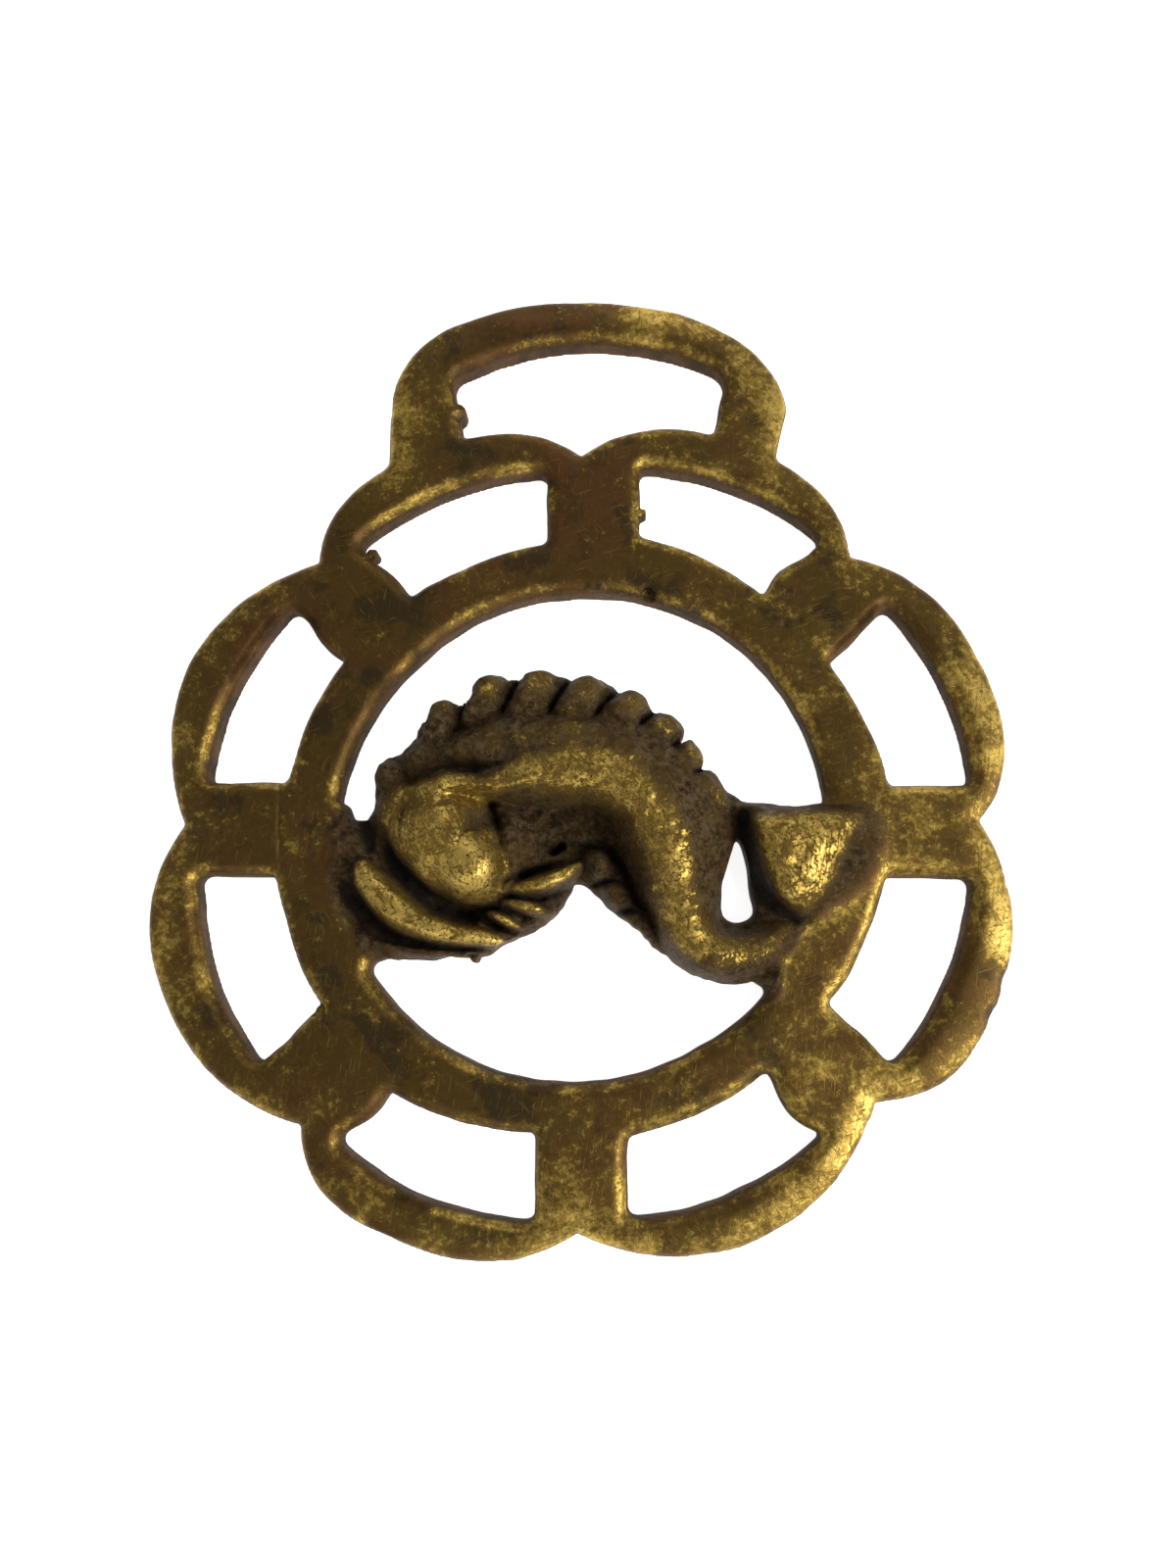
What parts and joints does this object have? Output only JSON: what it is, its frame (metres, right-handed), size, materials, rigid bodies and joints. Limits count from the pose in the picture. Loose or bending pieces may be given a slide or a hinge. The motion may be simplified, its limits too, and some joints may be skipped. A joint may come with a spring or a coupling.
{
  "type": "horse brass",
  "caption": "Cast openwork horse brass: a dolphin in relief across a ring of scalloped lobes, under a strap hanger.",
  "frame": {"origin": "centre of the ring of lobes, on the flat back", "axes": "+Y from the ring's centre to the strap hanger, +Z out of the front, so it lies flat on its back"},
  "size_m": [0.078, 0.0899, 0.0089],
  "materials": {
    "aged_brass": "aged cast brass, dark brown-olive patina worn bright on the high places"
  },
  "bodies": {
    "root": {"horse_brass": "aged_brass"}
  },
  "joints": []
}
